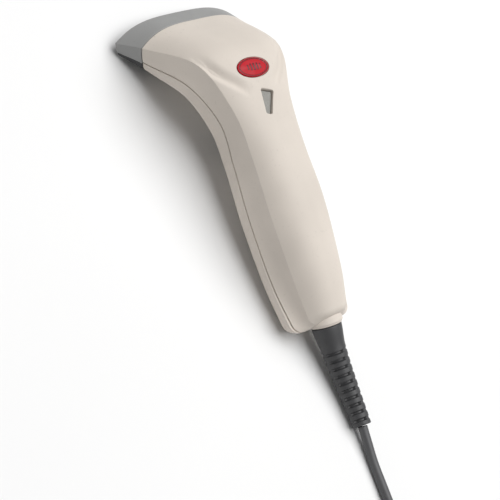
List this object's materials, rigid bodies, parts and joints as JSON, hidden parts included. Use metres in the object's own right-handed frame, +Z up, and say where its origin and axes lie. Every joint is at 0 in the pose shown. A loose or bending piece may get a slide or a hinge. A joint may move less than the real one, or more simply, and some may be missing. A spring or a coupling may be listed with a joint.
{
  "type": "handheld barcode scanner",
  "caption": "Handheld linear-imager barcode scanner with a flared head, rubber-grey nose bumper, under-neck trigger, oval badge, ribbed strain relief and a coiled cable with a computer plug.",
  "frame": {"origin": "under the middle of the scanner without its cable, on the surface that it lies on", "axes": "+X from the butt to the nose, +Z up from the surface, +Y to the left of someone looking along +X"},
  "size_m": [0.3227, 0.1134, 0.0475],
  "materials": {
    "casing": "fine textured, warm light grey",
    "bumper": "satin grey overmould",
    "window": "polished dark red",
    "gasket": "matte black foam",
    "trigger": "satin dark grey",
    "pin": "ground",
    "badge": "glossy red dome",
    "status_lens": "smoked, polished",
    "board": "green solder mask",
    "chip": "moulded black",
    "can": "bright plated",
    "black": "black",
    "mirror": "front surface",
    "led": "clear red epoxy",
    "clear": "translucent",
    "screw": "zinc plated",
    "boot": "matte dark grey",
    "cable": "satin dark grey jacket",
    "strap": "woven black hook and loop"
  },
  "bodies": {
    "housing": {"upper_shell": "casing", "lower_shell": "casing", "nose_bumper": "bumper", "scan_window": "window", "window_gasket": "gasket", "trigger_pin": "pin", "badge": "badge", "status_lens": "status_lens", "main_board": "board", "decoder_chip": "chip", "memory_chip": "chip", "crystal": "can", "capacitor": "black", "buzzer": "black", "interface_jack": "black", "modular_plug": "clear", "inner_lead": "cable", "trigger_switch": "black", "status_led": "clear", "light_pipe": "clear", "led_board": "board", "led_1": "led", "led_2": "led", "led_3": "led", "led_4": "led", "led_5": "led", "led_6": "led", "light_diffuser": "clear", "optics_chassis": "black", "folding_mirror": "mirror", "lens_barrel": "chip", "ccd_sensor": "chip", "sensor_board": "board", "screw_1": "screw", "screw_2": "screw", "screw_3": "screw", "screw_4": "screw", "strain_relief": "boot", "cable": "cable", "cable_coil": "cable", "plug_lead": "cable", "usb_grip": "boot", "usb_shell": "can", "usb_tongue": "clear", "cable_tie": "strap"},
    "trigger": {"trigger": "trigger"},
    "plunger": {"switch_plunger": "clear"}
  },
  "joints": [
    {"name": "trigger_press", "type": "hinge", "parent": "housing", "child": "trigger", "pos_m": [0.03577, 0, 0.01746], "axis": [0, -1, 0], "range_deg": [0, 4.5], "stiffness_Nm_per_rad": 0.18},
    {"name": "plunger_slide", "type": "slide", "parent": "housing", "child": "plunger", "axis": [-0.2011, 0, 0.9796], "range_m": [0, 0.0008]}
  ],
  "couplings": [
    {"joint": "plunger_slide", "follows": "trigger_press", "m_per_rad": 0.01}
  ]
}
